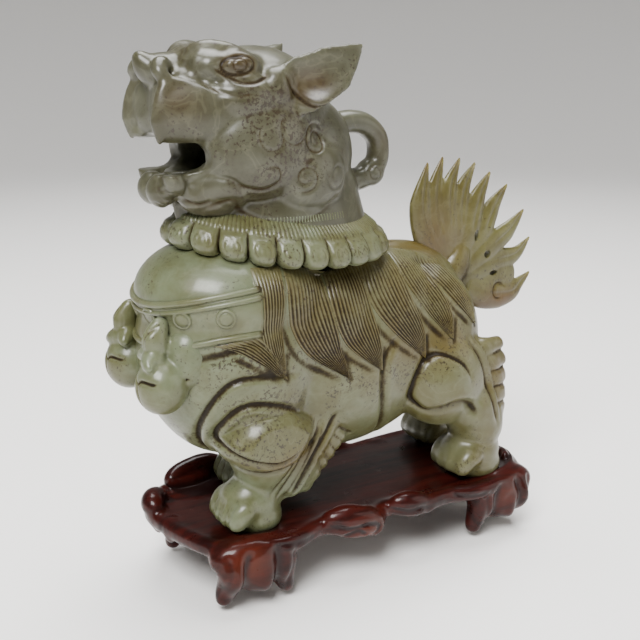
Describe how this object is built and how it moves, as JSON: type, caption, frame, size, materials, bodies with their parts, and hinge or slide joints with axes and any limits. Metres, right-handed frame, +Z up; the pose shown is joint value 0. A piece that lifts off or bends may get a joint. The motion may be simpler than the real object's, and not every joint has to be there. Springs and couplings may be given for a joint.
{
  "type": "guardian lion censer",
  "caption": "Carved jade guardian lion with a hollow body, a lift-off head for a lid and an upright tail, on a carved hardwood root stand.",
  "frame": {"origin": "bottom centre of the bounding box, on the surface that the stand's toes rest on", "axes": "+Z up, the lion faces -X, its left flank is towards -Y"},
  "size_m": [0.316, 0.117, 0.34],
  "materials": {
    "jade": "polished, waxy, with dark staining in the cuts",
    "tail_jade": "polished, olive, lets light through at the tips",
    "rosewood": "glossy dark red-brown lacquer"
  },
  "bodies": {
    "stand": {"stand_top": "rosewood", "stand_foot_front_near": "rosewood", "stand_foot_front_far": "rosewood", "stand_foot_rear_near": "rosewood", "stand_foot_rear_far": "rosewood"},
    "lion": {"body_vessel": "jade", "tail_fan": "tail_jade"},
    "head": {"head_lid": "jade"}
  },
  "joints": [
    {"name": "lion_lift", "type": "slide", "parent": "stand", "child": "lion", "axis": [0, 0, 1], "range_m": [0, 0.06]},
    {"name": "head_lift", "type": "slide", "parent": "lion", "child": "head", "axis": [0, 0, 1], "range_m": [0, 0.11]}
  ]
}
